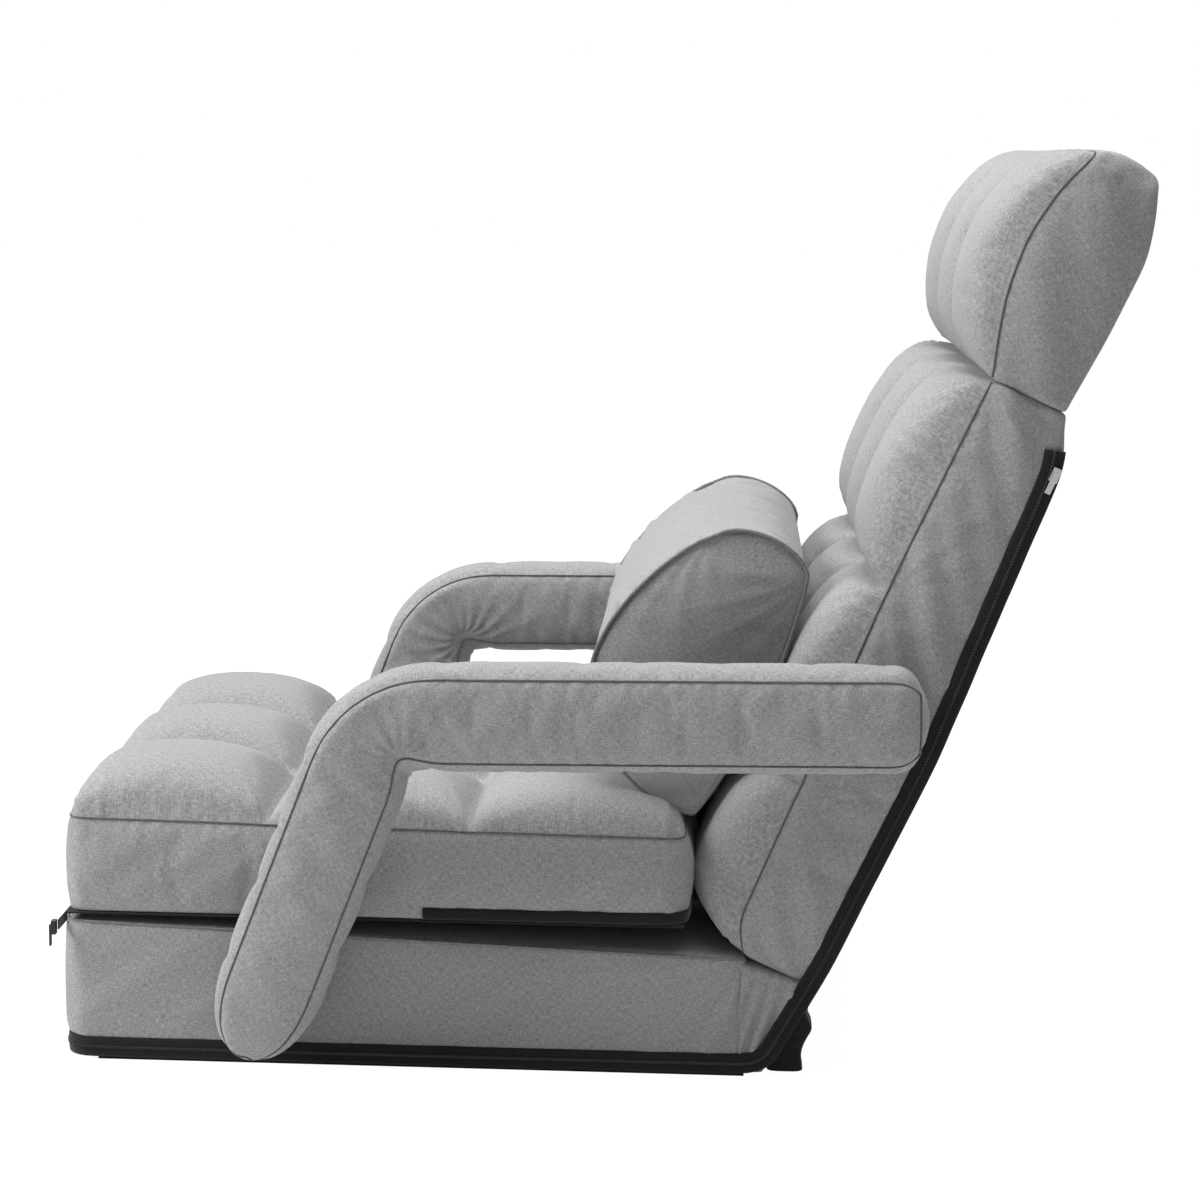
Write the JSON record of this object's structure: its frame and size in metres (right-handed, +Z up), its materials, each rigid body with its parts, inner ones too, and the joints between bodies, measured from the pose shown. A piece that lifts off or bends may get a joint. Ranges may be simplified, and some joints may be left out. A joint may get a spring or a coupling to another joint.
{
  "type": "folding floor chair",
  "caption": "Upholstered folding floor chair with flip-out seat pad, ratchet-reclining tufted back, tilting head cushion, linked padded arms and a loose lumbar pillow.",
  "frame": {"origin": "middle of the base's flat underside, on the floor", "axes": "+Z up, the sitter faces -Y, +X is on the sitter's left"},
  "size_m": [0.7, 1.0032, 0.8497],
  "materials": {
    "grey_cloth": "plain-woven melange polyester, matt",
    "foam": "soft polyurethane foam",
    "black_lining": "thin woven polyester, matt",
    "black_tape": "woven zip tape",
    "black_zip": "black lacquer, semi-gloss",
    "silver_zip": "bright plate",
    "frame_steel": "black powder coat",
    "bright_steel": "zinc plated"
  },
  "bodies": {
    "base": {"base_rails": "frame_steel", "base_cross_bars": "frame_steel", "recline_housings": "frame_steel", "recline_pins": "bright_steel", "recline_pawls": "bright_steel", "recline_pawl_springs": "bright_steel", "arm_foot_bolts": "bright_steel", "arm_foot_nuts": "bright_steel", "base_cover": "grey_cloth", "base_foam": "foam", "base_underside": "black_lining", "base_zip_bands": "black_tape", "front_zip_tape": "black_tape", "waist_fold": "black_lining"},
    "seat_pad": {"seat_pad_cover": "grey_cloth", "seat_pad_foam": "foam", "seat_pad_underside": "black_lining", "seat_pad_zip_bands": "black_tape"},
    "back": {"recline_gears": "bright_steel", "back_side_tubes": "frame_steel", "back_cross_bars": "frame_steel", "neck_housings": "frame_steel", "neck_pins": "bright_steel", "neck_pawls": "bright_steel", "arm_back_bolts": "bright_steel", "arm_back_nuts": "bright_steel", "back_lower_cover": "grey_cloth", "back_lower_foam": "foam", "back_cover": "grey_cloth", "back_lumbar_foam": "foam", "back_upper_foam": "foam", "back_rear_panel": "black_lining", "back_zip_bands": "black_tape", "neck_fold": "grey_cloth"},
    "head": {"neck_gears": "bright_steel", "head_side_tubes": "frame_steel", "head_top_bar": "frame_steel", "head_cover": "grey_cloth", "head_foam": "foam"},
    "lower_arm_left": {"lower_arm_bar_left": "frame_steel", "lower_arm_cover_left": "grey_cloth", "lower_arm_foam_left": "foam", "elbow_rivet_left": "bright_steel"},
    "upper_arm_left": {"upper_arm_bar_left": "frame_steel", "upper_arm_cover_left": "grey_cloth", "upper_arm_foam_left": "foam"},
    "lower_arm_right": {"lower_arm_bar_right": "frame_steel", "lower_arm_cover_right": "grey_cloth", "lower_arm_foam_right": "foam", "elbow_rivet_right": "bright_steel"},
    "upper_arm_right": {"upper_arm_bar_right": "frame_steel", "upper_arm_cover_right": "grey_cloth", "upper_arm_foam_right": "foam"},
    "pillow": {"pillow_cover": "grey_cloth", "pillow_filling": "foam"},
    "front_zip": {"front_zip_slider": "black_zip", "front_zip_pull": "black_zip"},
    "back_zip": {"back_zip_slider": "silver_zip", "back_zip_pull": "silver_zip"}
  },
  "joints": [
    {"name": "back_recline", "type": "hinge", "parent": "base", "child": "back", "pos_m": [0, 0.3315, 0.057], "axis": [-1, 0, 0], "range_deg": [-24, 66], "deforming": ["waist_fold", "back_lower_cover", "back_lower_foam", "pillow_cover", "pillow_filling"]},
    {"name": "head_tilt", "type": "hinge", "parent": "back", "child": "head", "pos_m": [0, 0.56764, 0.63163], "axis": [1, 0, 0], "range_deg": [0, 38], "deforming": ["neck_fold"]},
    {"name": "seat_pad_flip", "type": "hinge", "parent": "base", "child": "seat_pad", "pos_m": [0, -0.323, 0.1394], "axis": [1, 0, 0], "range_deg": [0, 180], "deforming": ["pillow_cover", "pillow_filling"]},
    {"name": "pillow_slide", "type": "slide", "parent": "back", "child": "pillow", "axis": [0, 0.342, 0.9397], "range_m": [0, 0.3]},
    {"name": "front_zip_run", "type": "slide", "parent": "base", "child": "front_zip", "axis": [-1, 0, 0], "range_m": [0, 0.562]},
    {"name": "back_zip_run", "type": "slide", "parent": "back", "child": "back_zip", "axis": [0, -0.4067, -0.9135], "range_m": [0, 0.48]},
    {"name": "arm_foot_left", "type": "hinge", "parent": "base", "child": "lower_arm_left", "pos_m": [0, -0.1285, 0.05], "axis": [-1, 0, 0], "range_deg": [-24, 66]},
    {"name": "elbow_left", "type": "hinge", "parent": "lower_arm_left", "child": "upper_arm_left", "pos_m": [0, -0.01804, 0.34235], "axis": [-1, 0, 0], "range_deg": [-66, 24]},
    {"name": "arm_foot_right", "type": "hinge", "parent": "base", "child": "lower_arm_right", "pos_m": [0, -0.1285, 0.05], "axis": [-1, 0, 0], "range_deg": [-24, 66]},
    {"name": "elbow_right", "type": "hinge", "parent": "lower_arm_right", "child": "upper_arm_right", "pos_m": [0, -0.01804, 0.34235], "axis": [-1, 0, 0], "range_deg": [-66, 24]}
  ],
  "couplings": [
    {"joint": "arm_foot_left", "follows": "back_recline", "ratio": 1},
    {"joint": "elbow_left", "follows": "back_recline", "ratio": -1},
    {"joint": "arm_foot_right", "follows": "back_recline", "ratio": 1},
    {"joint": "elbow_right", "follows": "back_recline", "ratio": -1}
  ]
}
